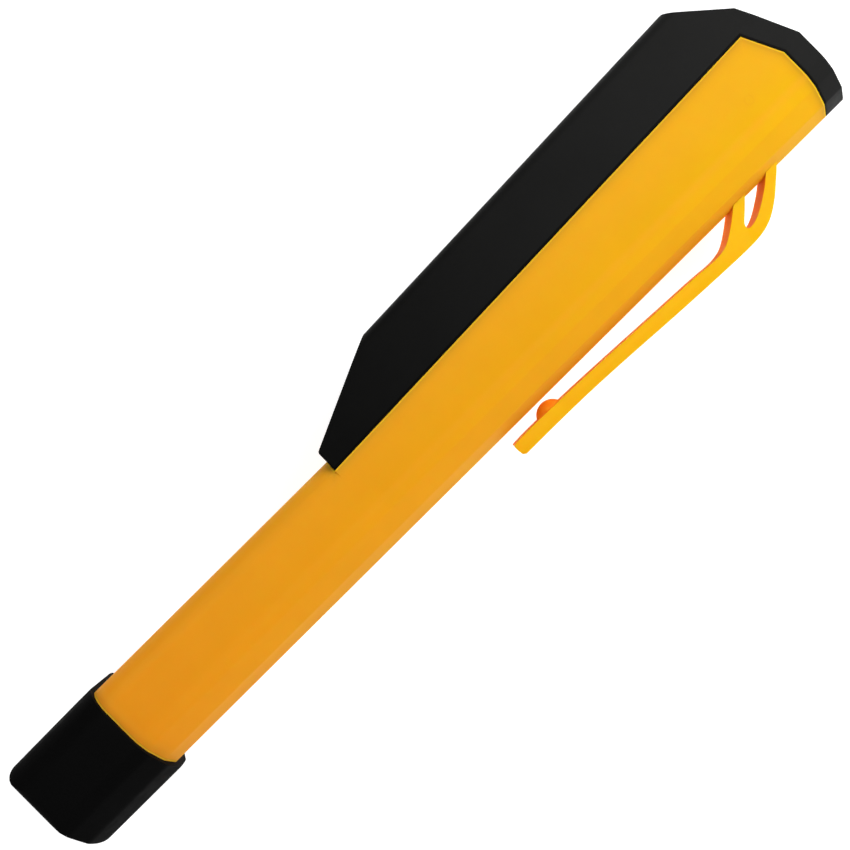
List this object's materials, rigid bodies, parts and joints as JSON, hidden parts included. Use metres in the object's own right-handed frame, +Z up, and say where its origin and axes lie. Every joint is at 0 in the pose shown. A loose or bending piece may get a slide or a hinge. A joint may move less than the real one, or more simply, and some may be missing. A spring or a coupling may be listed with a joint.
{
  "type": "counterfeit detector pen",
  "caption": "Flat-sided yellow and black pocket inspection pen with a slanted side lamp housing, a lamp in the head, a push-button tail cap and a springy pocket clip, lying on its side.",
  "frame": {"origin": "middle of the bounding box at the surface that the pen lies on", "axes": "+X from the tail cap to the head, +Y out of the lamp face and away from the pocket clip, +Z up from the flat side that the pen lies on"},
  "size_m": [0.1716, 0.0362, 0.022],
  "materials": {
    "yellow_plastic": "satin",
    "black_plastic": "satin",
    "cap_plastic": "satin",
    "black_rubber": "matte",
    "clear_window": "gloss",
    "metallised_plastic": "polished",
    "lamp_epoxy": "gloss",
    "tip_lamp_epoxy": "gloss",
    "tinned_wire": "satin",
    "green_board": "satin",
    "chip_black": "matte",
    "steel": "satin",
    "brass": "satin",
    "red_insulation": "satin",
    "black_insulation": "satin",
    "cell_jacket": "satin",
    "white_plastic": "satin"
  },
  "bodies": {
    "pen": {"barrel": "yellow_plastic", "led_bezel": "black_plastic", "lens_window": "clear_window", "tip_lens": "clear_window", "reflector": "metallised_plastic", "tip_reflector": "metallised_plastic", "led_1": "lamp_epoxy", "led_2": "lamp_epoxy", "led_3": "lamp_epoxy", "led_4": "lamp_epoxy", "led_5": "lamp_epoxy", "led_6": "lamp_epoxy", "tip_led": "tip_lamp_epoxy", "led_leads": "tinned_wire", "tip_led_leads": "tinned_wire", "led_board": "green_board", "contact_board": "green_board", "chip_resistors": "chip_black", "board_screws": "steel", "positive_contact": "brass", "ground_strip": "brass", "wire_positive": "red_insulation", "wire_negative": "black_insulation", "battery_1": "cell_jacket", "battery_2": "cell_jacket", "battery_3": "cell_jacket"},
    "tail": {"tail_cap": "cap_plastic", "switch_housing": "white_plastic", "switch_retainer": "black_plastic", "contact_disc": "brass", "cap_contact": "brass", "tail_spring": "steel", "switch_spring": "steel"},
    "button": {"push_button": "black_rubber", "switch_plunger": "white_plastic"},
    "clip": {"pocket_clip": "yellow_plastic"}
  },
  "joints": [
    {"name": "cap_pull", "type": "slide", "parent": "pen", "child": "tail", "axis": [-1, 0, 0], "range_m": [0, 0.025]},
    {"name": "button_press", "type": "slide", "parent": "tail", "child": "button", "axis": [1, 0, 0], "range_m": [0, 0.0015], "stiffness_N_per_m": 800, "deforming": ["switch_spring"]},
    {"name": "clip_flex", "type": "hinge", "parent": "pen", "child": "clip", "pos_m": [0.07082, -0.01109, 0.011], "axis": [0, 0, 1], "range_deg": [0, 4], "stiffness_Nm_per_rad": 1.5}
  ]
}
